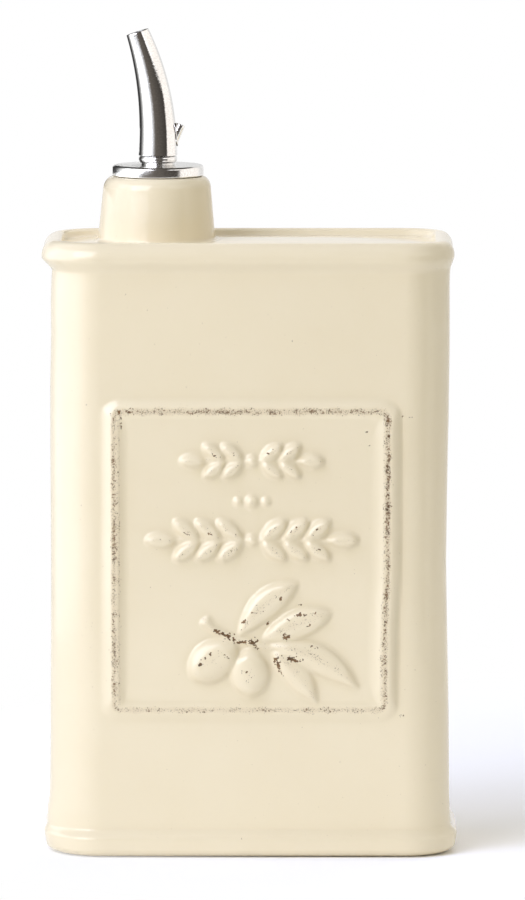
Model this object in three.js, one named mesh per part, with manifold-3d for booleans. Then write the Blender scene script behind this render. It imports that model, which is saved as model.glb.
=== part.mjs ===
// Ceramic oil jar in the form of a small oil tin, with a steel pourer in its neck.
// Millimetres, +Z up. The origin is the middle of the foot. The framed panel faces -Y,
// and the neck stands left of the middle, towards -X.
import * as THREE from "three";
import { mergeVertices } from "three/addons/utils/BufferGeometryUtils.js";
import Module from "manifold-3d";

const wasm = await Module();
wasm.setup();

// Jar body
const bodyWidth = 127.2;
const bodyDepth = 61.2;
const bodyHeight = 196;
const cornerRadius = 17;
const wall = 4.6;
const waistDraw = 0.7; // the fired wall draws in by this at half height
const cornerSteps = 8;

// Rolled rims at the top and the foot of the body
const beadReach = 2.1; // how far the top rim stands out from the wall
const footReach = 2.5;
const topBeadHeight = 10;
const topBeadRound = 5;
const rimCrown = 2.2; // the rim's highest line lies this far inside the wall
const rimInnerReach = 2.1; // the rim rounds down from its crown by this much, then slopes to the deck
const rimInnerDrop = 1.5;
const deckDrop = 2.4;
const deckEdge = 5.2; // the deck starts this far inside the wall
const footBeadHeight = 9;
const footBeadRound = 4.4;
const footInset = 2.6;
const footLand = 5.5;
const footRecess = 2;
const recessSlope = 1; // the recess is this much narrower at its roof

// Neck
const neckX = -28.9;
const neckTop = 215.5;
const neckRadiusTop = 16.9;
const neckRadiusFoot = 18.2;
const neckFillet = 2.2;
const neckShoulder = 4; // height of the rounded edge at the top
const neckLand = 14; // radius of the flat ring that the bung's head sits on
const neckBore = 11;
const boreChamfer = 0.8;
const roundSteps = 40;

// Inside of the jar
const cavityFloor = 7;
const cavityTop = bodyHeight - deckDrop - wall;
const cavityRound = 8;

// Framed panel in relief on the front
const panelWidth = 86.6;
const panelHeight = 95.5;
const panelX = 1.1;
const panelZ = 95;
const ridgeWidth = 6.4;
const ridgeHeight = 1.1;
const panelCorner = 4;
const reliefRoot = 1.5; // the ridge is rooted this deep in the wall
const ridgeToe = 0.3; // its slopes run on below the face by this much
const leafHeight = 1.2;
const leafFullness = 0.8; // below 1 the leaf is fuller towards its ends
const oliveHeight = 2;

// Pourer, measured from the neck's top on the neck's axis
const seatGap = 0.1;
const fitGap = 0.25;
const bungHeadRadius = 13.4;
const bungHeadTop = 1.8;
const bungCore = 8.4;
const bungNose = 7.4;
const bungLength = 24.5;
const bungTaper = 2; // length of the nose
const finCount = 4;
const finPitch = 5;
const finStart = 3; // the lowest fin starts this far above the end of the nose
const finRise = 2;
const finEdge = 0.7;
const finBack = 0.4;
const finRadius = neckBore - fitGap;
const capRadius = 14.5;
const capSheet = 0.7;
const capSkirt = 0.3; // the skirt stops this far above the neck
const capTop = 2.9;
const hubTop = 6.1;
const hubRadius = 6.05;
const hubWaist = 5.3;
const tailRadius = 4.8;
const tailSheet = 0.6;
const tailTop = 4.2;
const tailBottom = -28;
const tailFlare = 0.6;
const tailFlareLength = 2;
const spoutBaseRadius = 6.15;
const spoutTipRadius = 3.85;
const spoutTaper = 0.53; // share of the taper that is even, the rest grows towards the mouth
const spoutSheet = 0.85;
const spoutStraight = 4.4; // length of the spout before its bend starts
const spoutBendRadius = 93;
const spoutBend = THREE.MathUtils.degToRad(21.4);
const spoutSteps = 28;
const breatherRadius = 1.5;
const breatherSheet = 0.5;
const breatherX = 2.55;
const breatherBottom = -42;
const breatherBendZ = 3.8;
const breatherBendRadius = 6;
const breatherLean = THREE.MathUtils.degToRad(23);
const breatherStub = 10.7; // straight length after the bend
const breatherSteps = 16;

const glaze = new THREE.MeshStandardMaterial({ color: 0xeee2c8, roughness: 0.18, metalness: 0 });
const polishedSteel = new THREE.MeshStandardMaterial({ color: 0xd8d8d6, roughness: 0.12, metalness: 1 });
const rubber = new THREE.MeshStandardMaterial({ color: 0x2c2b2a, roughness: 0.7, metalness: 0 });

// A closed geometry as a solid that can be joined or cut.
function toSolid(geometry) {
  const bare = geometry.clone();
  bare.deleteAttribute("normal");
  bare.deleteAttribute("uv");
  const merged = mergeVertices(bare, 1e-4);
  const kept = [];
  const index = merged.index.array;
  for (let i = 0; i < index.length; i += 3) {
    const [a, b, c] = index.subarray(i, i + 3);
    if (a !== b && b !== c && c !== a) kept.push(a, b, c);
  }
  const vertProperties = merged.attributes.position.array;
  return new wasm.Manifold(new wasm.Mesh({ numProp: 3, vertProperties, triVerts: new Uint32Array(kept) }));
}

function toGeometry(solid) {
  const mesh = solid.getMesh();
  const geometry = new THREE.BufferGeometry();
  geometry.setAttribute("position", new THREE.BufferAttribute(mesh.vertProperties, 3));
  geometry.setIndex(new THREE.BufferAttribute(mesh.triVerts, 1));
  geometry.computeVertexNormals();
  return geometry;
}

// Points of an arc with separate half axes, angles in degrees.
function arc(x, y, radiusX, radiusY, from, to, steps) {
  return Array.from({ length: steps + 1 }, (_, i) => {
    const angle = THREE.MathUtils.degToRad(from + ((to - from) * i) / steps);
    return new THREE.Vector2(x + radiusX * Math.cos(angle), y + radiusY * Math.sin(angle));
  });
}

// A soft S from one point to the next, upright at both ends.
function blend(from, to, steps) {
  return Array.from({ length: steps + 1 }, (_, i) => {
    const share = 0.5 - 0.5 * Math.cos((Math.PI * i) / steps);
    return new THREE.Vector2(
      THREE.MathUtils.lerp(from.x, to.x, share),
      THREE.MathUtils.lerp(from.y, to.y, i / steps),
    );
  });
}

// A rounded rectangle, counter-clockwise, at a given offset from its nominal outline.
function roundedRectangle(halfWidth, halfDepth, radius, offset, steps) {
  const x = halfWidth - radius;
  const y = halfDepth - radius;
  const r = radius + offset;
  return [
    ...arc(x, y, r, r, 0, 90, steps),
    ...arc(-x, y, r, r, 90, 180, steps),
    ...arc(-x, -y, r, r, 180, 270, steps),
    ...arc(x, -y, r, r, 270, 360, steps),
  ];
}

// Joins rings of equal length into a surface. A closed run of rings bends back to its start,
// and an open one is shut by a fan over its first and last ring.
function loft(rings, closed) {
  const count = rings[0].length;
  const points = rings.flat();
  const index = [];
  const last = closed ? rings.length : rings.length - 1;
  for (let i = 0; i < last; i++) {
    const low = i * count;
    const high = ((i + 1) % rings.length) * count;
    for (let j = 0; j < count; j++) {
      const k = (j + 1) % count;
      index.push(low + j, low + k, high + k, low + j, high + k, high + j);
    }
  }
  if (!closed) {
    const top = (rings.length - 1) * count;
    const middle = (ring) => ring.reduce((sum, p) => sum.add(p), new THREE.Vector3()).divideScalar(count);
    points.push(middle(rings[0]), middle(rings.at(-1)));
    for (let j = 0; j < count; j++) {
      const k = (j + 1) % count;
      index.push(points.length - 2, k, j, points.length - 1, top + j, top + k);
    }
  }
  return new THREE.BufferGeometry().setFromPoints(points).setIndex(index);
}

// Carries a profile of offsets and heights round a rounded rectangle.
function sweepRound(profile, halfWidth, halfDepth, radius, steps, closed = false) {
  const rings = profile.map((p) =>
    roundedRectangle(halfWidth, halfDepth, radius, p.x, steps).map((q) => new THREE.Vector3(q.x, q.y, p.y)),
  );
  return loft(rings, closed);
}

// A profile of radii and heights turned about the Z axis.
function revolve(profile, steps = roundSteps) {
  return new THREE.LatheGeometry(profile, steps).rotateX(Math.PI / 2);
}

// A circle square to the path at a station, which has a place in the XZ plane and a lean from upright.
function circleAt(station, radius, steps) {
  return Array.from({ length: steps }, (_, i) => {
    const angle = (2 * Math.PI * i) / steps;
    const across = radius * Math.cos(angle);
    return new THREE.Vector3(
      station.x + across * Math.cos(station.lean),
      radius * Math.sin(angle),
      station.z - across * Math.sin(station.lean),
    );
  });
}

// A tube through stations that each have an outer and an inner radius.
function tube(stations, steps) {
  const outside = stations.map((s) => circleAt(s, s.outer, steps));
  const inside = stations.map((s) => circleAt(s, s.inner, steps)).reverse();
  return loft([...outside, ...inside], true);
}

const point = (x, y) => new THREE.Vector2(x, y);

// How far the wall lies inside its nominal outline at a height.
function wallOffset(z) {
  const share = (z - footBeadHeight) / (bodyHeight - topBeadHeight - footBeadHeight);
  return -waistDraw * Math.sin(Math.PI * THREE.MathUtils.clamp(share, 0, 1));
}

// Outside of the body: foot, rolled foot rim, wall, rolled top rim and the sunk deck.
function bodyOutside() {
  const wallFoot = point(0, footBeadHeight);
  const wallTop = point(0, bodyHeight - topBeadHeight);
  const beadTop = point(beadReach, bodyHeight - topBeadRound);
  const deck = bodyHeight - deckDrop;
  const wallRings = [1, 2, 3, 4, 5].map((i) => {
    const z = THREE.MathUtils.lerp(wallFoot.y, wallTop.y, i / 6);
    return point(wallOffset(z), z);
  });
  const profile = [
    point(-footInset - footLand - recessSlope, footRecess),
    point(-footInset - footLand, 0),
    ...arc(-footInset, footBeadRound, footInset + footReach, footBeadRound, -90, 0, 5),
    ...blend(point(footReach, footBeadRound), wallFoot, 4).slice(1),
    ...wallRings,
    ...blend(wallTop, beadTop, 4),
    ...arc(-rimCrown, beadTop.y, rimCrown + beadReach, topBeadRound, 0, 90, 5).slice(1),
    ...arc(-rimCrown, bodyHeight - rimInnerDrop, rimInnerReach, rimInnerDrop, 90, 180, 3).slice(1),
    point(-deckEdge, deck),
  ];
  return sweepRound(profile, bodyWidth / 2, bodyDepth / 2, cornerRadius, cornerSteps);
}

function bodyCavity() {
  const profile = [
    ...arc(-wall - cavityRound, cavityFloor + cavityRound, cavityRound, cavityRound, -90, 0, 4),
    ...arc(-wall - cavityRound, cavityTop - cavityRound, cavityRound, cavityRound, 0, 90, 4),
  ];
  return sweepRound(profile, bodyWidth / 2, bodyDepth / 2, cornerRadius, cornerSteps);
}

function neckOutside() {
  const deck = bodyHeight - deckDrop;
  const root = deck - wall / 2;
  const foot = neckRadiusFoot + neckFillet;
  const shoulderZ = neckTop - neckShoulder;
  return revolve([
    point(0, root),
    point(foot, root),
    ...arc(foot, deck + neckFillet, neckFillet, neckFillet, 270, 180, 4),
    ...arc(neckLand, shoulderZ, neckRadiusTop - neckLand, neckShoulder, 0, 90, 5),
    point(0, neckTop),
  ]).translate(neckX, 0, 0);
}

function neckBoreSpace() {
  const past = 1;
  return revolve([
    point(0, cavityTop - past),
    point(neckBore, cavityTop - past),
    point(neckBore, neckTop - boreChamfer),
    point(neckBore + boreChamfer + past, neckTop + past),
    point(0, neckTop + past),
  ]).translate(neckX, 0, 0);
}

// Relief is laid out face up, with X to the right, Y up and Z out of the panel.
function panelRidge() {
  const half = ridgeWidth / 2;
  const crest = [1, 0.6, 0.3, 0, -0.3, -0.6, -1].map((share) => {
    const rise = 0.5 + 0.5 * Math.cos(Math.PI * share);
    return point(half * share, (ridgeHeight + ridgeToe) * rise - ridgeToe);
  });
  const profile = [point(-half, -reliefRoot), point(half, -reliefRoot), ...crest];
  return sweepRound(profile, panelWidth / 2, panelHeight / 2, panelCorner, 4, true);
}

// A pointed leaf from its stalk to its tip, flattened so that half of its thickness shows.
function leaf({ from, to, width }) {
  const along = to.clone().sub(from);
  const length = along.length();
  const steps = 7;
  const outline = Array.from({ length: steps + 1 }, (_, i) => {
    const share = i / steps;
    return point((width / 2) * Math.sin(Math.PI * share) ** leafFullness, length * share);
  });
  outline[0].x = 0;
  outline[steps].x = 0;
  return new THREE.LatheGeometry(outline, 10)
    .scale(1, 1, leafHeight / (width / 2))
    .rotateZ(along.angle() - Math.PI / 2)
    .translate(from.x, from.y, 0);
}

function olive({ at, length, width, turn }) {
  return new THREE.SphereGeometry(1, 14, 8)
    .scale(length / 2, width / 2, oliveHeight)
    .rotateZ(THREE.MathUtils.degToRad(turn))
    .translate(at.x, at.y, 0);
}

// The twig, from its cut end to where the last leaves spring.
function twig(points, radius) {
  const curve = new THREE.CatmullRomCurve3(points.map((p) => new THREE.Vector3(p.x, p.y, 0)));
  const section = new THREE.Shape(arc(0, 0, radius, radius, 0, 360, 8).slice(0, -1));
  return new THREE.ExtrudeGeometry(section, { steps: 8, extrudePath: curve, bevelEnabled: false });
}

// An olive sprig, placed from the middle of the panel.
const twigPoints = [
  point(-14.6, -19.7),
  point(-10.8, -22.9),
  point(-6.6, -24.8),
  point(0, -26.4),
  point(6, -28),
];
const twigRadius = 1;
const leaves = [
  { from: point(-5, -24.4), to: point(14.5, -7.1), width: 9.2 },
  { from: point(3.4, -25.8), to: point(25.4, -16.5), width: 8.8 },
  { from: point(5.2, -26.8), to: point(34.3, -40.9), width: 9.6 },
  { from: point(5.4, -27.4), to: point(21.8, -45.7), width: 8.8 },
];
const olives = [
  { at: point(-12.9, -32.4), length: 18, width: 13.4, turn: 40 },
  { at: point(-0.9, -37.2), length: 16, width: 13.4, turn: 84 },
];

function panelRelief() {
  const shapes = [panelRidge(), twig(twigPoints, twigRadius), ...leaves.map(leaf), ...olives.map(olive)];
  const face = bodyDepth / 2 + wallOffset(panelZ);
  return shapes.map((shape) => toSolid(shape.rotateX(Math.PI / 2).translate(panelX, -face, panelZ)));
}

function jarBody() {
  const outside = [toSolid(neckOutside()), ...panelRelief()];
  const solid = outside.reduce((sum, shape) => sum.add(shape), toSolid(bodyOutside()));
  return toGeometry(solid.subtract(toSolid(bodyCavity())).subtract(toSolid(neckBoreSpace())));
}

// The bung: a nose, barbed fins that lean up the bore, and a flat head under the cap.
function stopperBung() {
  const bore = tailRadius + fitGap;
  const fins = Array.from({ length: finCount }, (_, i) => {
    const z = finPitch * i + finStart - bungLength;
    return [
      point(bungCore, z),
      point(finRadius, z + finRise),
      point(finRadius, z + finRise + finEdge),
      point(bungCore, z + finRise + finEdge + finBack),
    ];
  });
  const start = point(bore, -bungLength);
  return revolve([
    start,
    point(bungNose, -bungLength),
    point(bungCore, bungTaper - bungLength),
    ...fins.flat(),
    point(bungCore, seatGap),
    point(bungHeadRadius, seatGap),
    point(bungHeadRadius, bungHeadTop),
    point(bore, bungHeadTop),
    start,
  ]);
}

// The cap: a disc with a turned-down skirt and a rounded hub that carries the spout.
function flangeCap() {
  const underside = bungHeadTop + seatGap;
  const bore = tailRadius + fitGap;
  const start = point(bore, underside);
  const hubMiddle = (capTop + hubTop) / 2;
  const hubHalf = (hubTop - capTop) / 2;
  return revolve([
    start,
    point(capRadius - capSheet, underside),
    point(capRadius - capSheet, capSkirt),
    point(capRadius, capSkirt),
    ...arc(capRadius - capSheet, capTop - capSheet, capSheet, capSheet, 0, 90, 3),
    ...arc(hubWaist, hubMiddle, hubRadius - hubWaist, hubHalf, -90, 90, 6),
    point(bore, hubTop),
    start,
  ]);
}

function tailTube() {
  const inner = tailRadius - tailSheet;
  const heights = [tailBottom + tailFlareLength, tailTop];
  const straight = heights.map((z) => ({ x: 0, z, lean: 0, outer: tailRadius, inner }));
  const mouth = { x: 0, z: tailBottom, lean: 0, outer: tailRadius + tailFlare, inner: inner + tailFlare };
  return tube([mouth, ...straight], roundSteps);
}

// Radius of the spout at a share of its length: it narrows slowly at first, then quicker.
function spoutRadius(share) {
  const drop = spoutBaseRadius - spoutTipRadius;
  return spoutBaseRadius - drop * (spoutTaper * share + (1 - spoutTaper) * share * share);
}

function spoutStations() {
  const base = hubTop + seatGap;
  const bendLength = spoutBendRadius * spoutBend;
  const length = spoutStraight + bendLength;
  const station = (along) => {
    const angle = Math.max(0, along - spoutStraight) / spoutBendRadius;
    const outer = spoutRadius(along / length);
    return {
      x: -spoutBendRadius * (1 - Math.cos(angle)),
      z: base + Math.min(along, spoutStraight) + spoutBendRadius * Math.sin(angle),
      lean: -angle,
      outer,
      inner: outer - spoutSheet,
    };
  };
  const bendSteps = 9;
  const bend = Array.from({ length: bendSteps + 1 }, (_, i) => spoutStraight + (bendLength * i) / bendSteps);
  return [0, ...bend].map(station);
}

// The breather runs down inside the tail and bends out through the side of the spout.
function breatherStations() {
  const bendSteps = 4;
  const bend = Array.from({ length: bendSteps + 1 }, (_, i) => {
    const lean = (breatherLean * i) / bendSteps;
    return {
      x: breatherX + breatherBendRadius * (1 - Math.cos(lean)),
      z: breatherBendZ + breatherBendRadius * Math.sin(lean),
      lean,
    };
  });
  const end = bend.at(-1);
  const tip = {
    x: end.x + breatherStub * Math.sin(breatherLean),
    z: end.z + breatherStub * Math.cos(breatherLean),
    lean: breatherLean,
  };
  return [{ x: breatherX, z: breatherBottom, lean: 0 }, ...bend, tip];
}

function pourSpout() {
  const passage = breatherStations().map((s) => circleAt(s, breatherRadius + fitGap, breatherSteps));
  return toGeometry(toSolid(tube(spoutStations(), spoutSteps)).subtract(toSolid(loft(passage, false))));
}

function breatherTube() {
  const radii = { outer: breatherRadius, inner: breatherRadius - breatherSheet };
  return tube(breatherStations().map((s) => ({ ...s, ...radii })), breatherSteps);
}

function piece(name, geometry, material) {
  const mesh = new THREE.Mesh(geometry, material);
  mesh.name = name;
  return mesh;
}

const pourer = new THREE.Group();
pourer.position.set(neckX, 0, neckTop);
pourer.add(
  piece("stopper_bung", stopperBung(), rubber),
  piece("flange_cap", flangeCap(), polishedSteel),
  piece("tail_tube", tailTube(), polishedSteel),
  piece("pour_spout", pourSpout(), polishedSteel),
  piece("breather_tube", breatherTube(), polishedSteel),
);

const jar = new THREE.Group();
jar.add(piece("jar_body", jarBody(), glaze), pourer);

export default jar;
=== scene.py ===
import math

import bmesh
import bpy
import numpy as np
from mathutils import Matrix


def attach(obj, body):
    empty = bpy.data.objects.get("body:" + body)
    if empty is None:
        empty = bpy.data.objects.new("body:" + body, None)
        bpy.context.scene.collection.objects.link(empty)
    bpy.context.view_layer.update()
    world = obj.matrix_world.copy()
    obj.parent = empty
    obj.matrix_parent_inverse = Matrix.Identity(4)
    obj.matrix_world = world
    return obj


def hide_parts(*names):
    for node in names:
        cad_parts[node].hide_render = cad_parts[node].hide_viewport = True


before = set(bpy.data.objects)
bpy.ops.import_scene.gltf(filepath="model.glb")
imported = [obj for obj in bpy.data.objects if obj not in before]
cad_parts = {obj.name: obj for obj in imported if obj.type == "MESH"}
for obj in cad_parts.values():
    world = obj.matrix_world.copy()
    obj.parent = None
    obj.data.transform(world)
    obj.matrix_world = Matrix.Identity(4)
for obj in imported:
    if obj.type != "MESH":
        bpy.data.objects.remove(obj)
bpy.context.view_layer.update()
scene = bpy.context.scene
scene.view_settings.view_transform = "Standard"
mm = 0.001


def addObject(name, data):
    made = bpy.data.objects.new(name, data)
    scene.collection.objects.link(made)
    return made


# camera: a long lens a little above the rim, as in a catalogue shot, in mm and degrees
shot = {"x": 4.44, "distance": 2799.8, "height": 433.7, "pitch": 6.251, "lens": 351.74, "sensor": 36}

cameraData = bpy.data.cameras.new("shotCamera")
cameraData.lens = shot["lens"]
cameraData.sensor_width = shot["sensor"]
camera = addObject("shotCamera", cameraData)
camera.location = (shot["x"] * mm, -shot["distance"] * mm, shot["height"] * mm)
camera.rotation_euler = (math.radians(90 - shot["pitch"]), 0, 0)
scene.camera = camera
print("camera set")


# a node tree with short ways to add to it: an input takes a plain value or another node's output
class Graph:
    def __init__(self, tree):
        self.tree = tree

    def fill(self, node, inputs):
        for key, value in inputs.items():
            if isinstance(value, bpy.types.NodeSocket):
                self.tree.links.new(value, node.inputs[key])
            else:
                node.inputs[key].default_value = value
        return node

    def add(self, kind, inputs=None, **settings):
        made = self.tree.nodes.new(kind)
        for key, value in settings.items():
            setattr(made, key, value)
        return self.fill(made, inputs or {})

    def calc(self, operation, *values):
        return self.add("ShaderNodeMath", dict(enumerate(values)), operation=operation).outputs[0]

    def ramp(self, value, low, high, toLow=0.0, toHigh=1.0, smooth=False, clamp=True):
        ends = {"Value": value, "From Min": low, "From Max": high, "To Min": toLow, "To Max": toHigh}
        kind = "SMOOTHSTEP" if smooth else "LINEAR"
        return self.add("ShaderNodeMapRange", ends, clamp=clamp, interpolation_type=kind).outputs["Result"]

    def mix(self, factor, *colors):
        first, second = ((*c, 1) if isinstance(c, tuple) else c for c in colors)
        made = self.add("ShaderNodeMix", data_type="RGBA", clamp_factor=True)
        spots = {socket.identifier: i for i, socket in enumerate(made.inputs)}
        self.fill(made, {spots["Factor_Float"]: factor, spots["A_Color"]: first, spots["B_Color"]: second})
        return next(socket for socket in made.outputs if socket.identifier == "Result_Color")

    def mixShaders(self, factor, first, second):
        return self.add("ShaderNodeMixShader", {0: factor, 1: first.outputs[0], 2: second.outputs[0]})

    def attribute(self, name):
        return self.add("ShaderNodeAttribute", attribute_name=name).outputs["Fac"]

    def bump(self, height, depth, under=None):
        inputs = {"Strength": 1.0, "Distance": depth * mm, "Height": height}
        if under is not None:
            inputs["Normal"] = under
        return self.add("ShaderNodeBump", inputs).outputs["Normal"]

    def mottle(self, place, scale, detail, low=0.0, high=1.0):
        inputs = {"Vector": place, "Scale": scale, "Detail": detail, "Low": low, "High": high}
        return self.add("ShaderNodeGroup", inputs, node_tree=softMottle).outputs["Value"]

    def specks(self, place, scale, density, gather):
        inputs = {"Vector": place, "Scale": scale, "Density": density, "Gather": gather}
        return self.add("ShaderNodeGroup", inputs, node_tree=speckMask).outputs["Mask"]


def newGroup(name, kind, inputs, outputs):
    graph = Graph(bpy.data.node_groups.new(name, kind))
    for way, sockets in (("INPUT", inputs), ("OUTPUT", outputs)):
        for label, socketKind in sockets.items():
            graph.tree.interface.new_socket(label, in_out=way, socket_type="NodeSocket" + socketKind)
    return graph, graph.add("NodeGroupInput").outputs, graph.add("NodeGroupOutput")


# shared effects: a soft mottle, and specks that gather in patches and spread with their density
effects = {
    "noiseSpan": (0.3, 0.7), "grainDetail": 2.0, "patchDetail": 1.0, "patches": (0.34, 0.62, 0.66, 1.1),
    "edge": 0.76, "edgeFall": 0.29, "edgeSoft": 0.08,
}


def mottleGroup():
    sockets = {"Vector": "Vector", "Scale": "Float", "Detail": "Float", "Low": "Float", "High": "Float"}
    graph, ins, leave = newGroup("softMottle", "ShaderNodeTree", sockets, {"Value": "Float"})
    noise = graph.add("ShaderNodeTexNoise", {key: ins[key] for key in ("Vector", "Scale", "Detail")})
    spread = graph.ramp(noise.outputs["Fac"], *effects["noiseSpan"], ins["Low"], ins["High"], clamp=False)
    graph.fill(leave, {"Value": spread})
    return graph.tree


def speckGroup():
    sockets = {"Vector": "Vector", "Scale": "Float", "Density": "Float", "Gather": "Float"}
    graph, ins, leave = newGroup("specks", "ShaderNodeTree", sockets, {"Mask": "Float"})

    def noise(scale, detail):
        inputs = {"Vector": ins["Vector"], "Scale": scale, "Detail": detail}
        return graph.add("ShaderNodeTexNoise", inputs).outputs["Fac"]

    patches = graph.ramp(noise(ins["Gather"], effects["patchDetail"]), *effects["patches"])
    gathered = graph.calc("MULTIPLY", ins["Density"], patches)
    edge = graph.calc("SUBTRACT", effects["edge"], graph.calc("MULTIPLY", gathered, effects["edgeFall"]))
    softEnd = graph.calc("ADD", edge, effects["edgeSoft"])
    grain = noise(ins["Scale"], effects["grainDetail"])
    graph.fill(leave, {"Mask": graph.ramp(grain, edge, softEnd, smooth=True)})
    return graph.tree


softMottle = mottleGroup()
speckMask = speckGroup()


def newMaterial(name):
    material = bpy.data.materials.new(name)
    material.use_nodes = True
    graph = Graph(material.node_tree)
    place = graph.add("ShaderNodeTexCoord").outputs["Object"]
    return material, graph, graph.tree.nodes["Principled BSDF"], place


# looks: a mottle is its scale and detail, some with a low and a high value, and depths are in mm
# cream glaze, broken to brown specks where the relief has worn through
glazeLook = {
    "cream": (0.834, 0.734, 0.522), "deepCream": (0.794, 0.684, 0.465), "pool": (0.70, 0.595, 0.38),
    "stain": (0.60, 0.47, 0.30), "brown": (0.078, 0.036, 0.009), "rust": (0.2, 0.097, 0.027),
    "drift": (34, 3), "tint": (700, 1), "sheen": (160, 2, 0.09, 0.15), "peel": (420, 2),
    "driftShare": 0.35, "poolShare": 0.2, "stained": (0.35, 1.1, 0.0, 0.34), "gather": 330,
    "dustScale": 2700, "dustShare": 0.45, "speckScale": 1600, "speckDensity": 0.82, "speckShare": 0.88,
    "chipScale": 1200, "wornShare": 0.97, "wornRough": 0.3, "peelDepth": 0.012, "pitDepth": 0.06,
}


def glazeMaterial():
    look = glazeLook
    material, graph, shader, place = newMaterial("creamGlaze")
    wear, hollow, chips = (graph.attribute(key) for key in ("wear", "hollow", "chips"))
    drift, tint, sheen, peel = (graph.mottle(place, *look[key]) for key in ("drift", "tint", "sheen", "peel"))

    def share(value, key):
        return graph.calc("MULTIPLY", value, look[key])

    def broken(scale, density):
        return graph.specks(place, look[scale], density, look["gather"])

    cream = graph.mix(share(drift, "driftShare"), look["cream"], look["deepCream"])
    cream = graph.mix(share(hollow, "poolShare"), cream, look["pool"])
    cream = graph.mix(graph.ramp(wear, *look["stained"]), cream, look["stain"])
    dust = share(broken("dustScale", wear), "dustShare")
    fine = share(broken("speckScale", share(wear, "speckDensity")), "speckShare")
    worn = graph.calc("MAXIMUM", dust, graph.calc("MAXIMUM", fine, broken("chipScale", chips)))
    brown = graph.mix(tint, look["brown"], look["rust"])
    skin = graph.bump(peel, look["peelDepth"])
    graph.fill(shader, {
        "Base Color": graph.mix(share(worn, "wornShare"), cream, brown),
        "Roughness": graph.calc("ADD", sheen, share(worn, "wornRough")),
        "Normal": graph.bump(graph.calc("SUBTRACT", 1.0, worn), look["pitDepth"], skin)})
    return material


# bare fired clay on the foot ring, and black moulded rubber with a dusty bloom
clayLook = {
    "base": (0.50, 0.31, 0.18), "blotch": (0.36, 0.21, 0.12), "shade": (180, 5), "rough": (0.82, 0.95),
    "speck": (0.22, 0.13, 0.08), "specks": (1100, 0.5, 150), "grain": (1400, 4), "grainDepth": 0.12,
}
rubberLook = {
    "base": (0.022, 0.022, 0.023), "blotch": (0.06, 0.058, 0.055), "shade": (260, 5), "rough": (0.55, 0.8),
    "grain": (2200, 2), "grainDepth": 0.02,
}


def blotchedMaterial(name, look):
    material, graph, shader, place = newMaterial(name)
    shade = graph.mottle(place, *look["shade"])
    color = graph.mix(shade, look["base"], look["blotch"])
    if "specks" in look:
        color = graph.mix(graph.specks(place, *look["specks"]), color, look["speck"])
    grain = graph.mottle(place, *look["grain"])
    graph.fill(shader, {
        "Base Color": color, "Roughness": graph.ramp(shade, 0, 1, *look["rough"]),
        "Normal": graph.bump(grain, look["grainDepth"])})
    return material


# polished steel with a fine grain, and slight dents where it is pressed
steelLook = {
    "bright": (0.92, 0.915, 0.9), "dull": (0.64, 0.63, 0.615), "drawn": (0.7, 0.7, 1), "marks": (2300, 3),
    "cloud": (140, 3), "dents": (400, 1), "cloudShare": 0.15, "markShare": (0.36, 0.64, 0.0, 0.35),
    "markRough": 1.35, "cloudRough": 0.4, "markDepth": 0.008,
    "tube": (0.025, 0.004), "cap": (0.12, 0.03),  # polish, depth of the dents
}


def steelMaterial(name, polish, dentDepth):
    look = steelLook
    material, graph, shader, place = newMaterial(name)
    drawn = graph.add("ShaderNodeMapping", {"Vector": place, "Scale": look["drawn"]}).outputs["Vector"]
    marks = graph.mottle(drawn, *look["marks"])
    cloud, dents = (graph.mottle(place, *look[key]) for key in ("cloud", "dents"))
    clouded = graph.calc("MULTIPLY", cloud, look["cloudShare"])
    grain = graph.calc("ADD", clouded, graph.ramp(marks, *look["markShare"]))
    markRough = graph.ramp(marks, 0, 1, polish, polish * look["markRough"])
    cloudRough = graph.ramp(cloud, 0, 1, 0.0, polish * look["cloudRough"])
    graph.fill(shader, {
        "Metallic": 1.0, "Base Color": graph.mix(grain, look["bright"], look["dull"]),
        "Roughness": graph.calc("ADD", markRough, cloudRough),
        "Normal": graph.bump(marks, look["markDepth"], graph.bump(dents, dentDepth))})
    return material


creamGlaze = glazeMaterial()
firedClay = blotchedMaterial("firedClay", clayLook)
polishedSteel = steelMaterial("polishedSteel", *steelLook["tube"])
pressedSteel = steelMaterial("pressedSteel", *steelLook["cap"])
bungRubber = blotchedMaterial("bungRubber", rubberLook)
print("materials made")


# profile tools, in mm: x is the radius or the distance from the wall, y is the height
def arcPoints(cx, cy, radius, start, stop, steps):
    rx, ry = radius if isinstance(radius, tuple) else (radius, radius)
    turn = np.radians(np.linspace(start, stop, steps + 1))
    return [(cx + rx * math.cos(a), cy + ry * math.sin(a)) for a in turn]


def easePoints(first, last, steps):
    (x0, y0), (x1, y1) = first, last
    share = np.linspace(0, 1, steps + 1)
    ease = 0.5 - 0.5 * np.cos(np.pi * share)
    return [(x0 + (x1 - x0) * e, y0 + (y1 - y0) * s) for s, e in zip(share, ease)]


def smoothMesh(mesh, sharp=None):
    mesh.polygons.foreach_set("use_smooth", [True] * len(mesh.polygons))
    if sharp:
        mesh.set_sharp_from_angle(angle=math.radians(sharp))
    mesh.update()
    return mesh


# rings of equal count joined to a skin, closed at both ends if two poles are given
def ringMesh(name, rings, poles=()):
    count = len(rings[0])
    points = np.concatenate([np.asarray(r, float) for r in (*rings, poles) if len(r)])
    ends = [(j, (j + 1) % count) for j in range(count)]
    faces = [(low + j, low + k, low + count + k, low + count + j)
             for low in range(0, (len(rings) - 1) * count, count) for j, k in ends]
    if poles:
        total = len(rings) * count
        top = total - count
        faces += [(total, k, j) for j, k in ends]
        faces += [(top + j, top + k, total + 1) for j, k in ends]
    mesh = bpy.data.meshes.new(name)
    mesh.from_pydata((points * mm).tolist(), [], faces)
    return smoothMesh(mesh)


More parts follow.
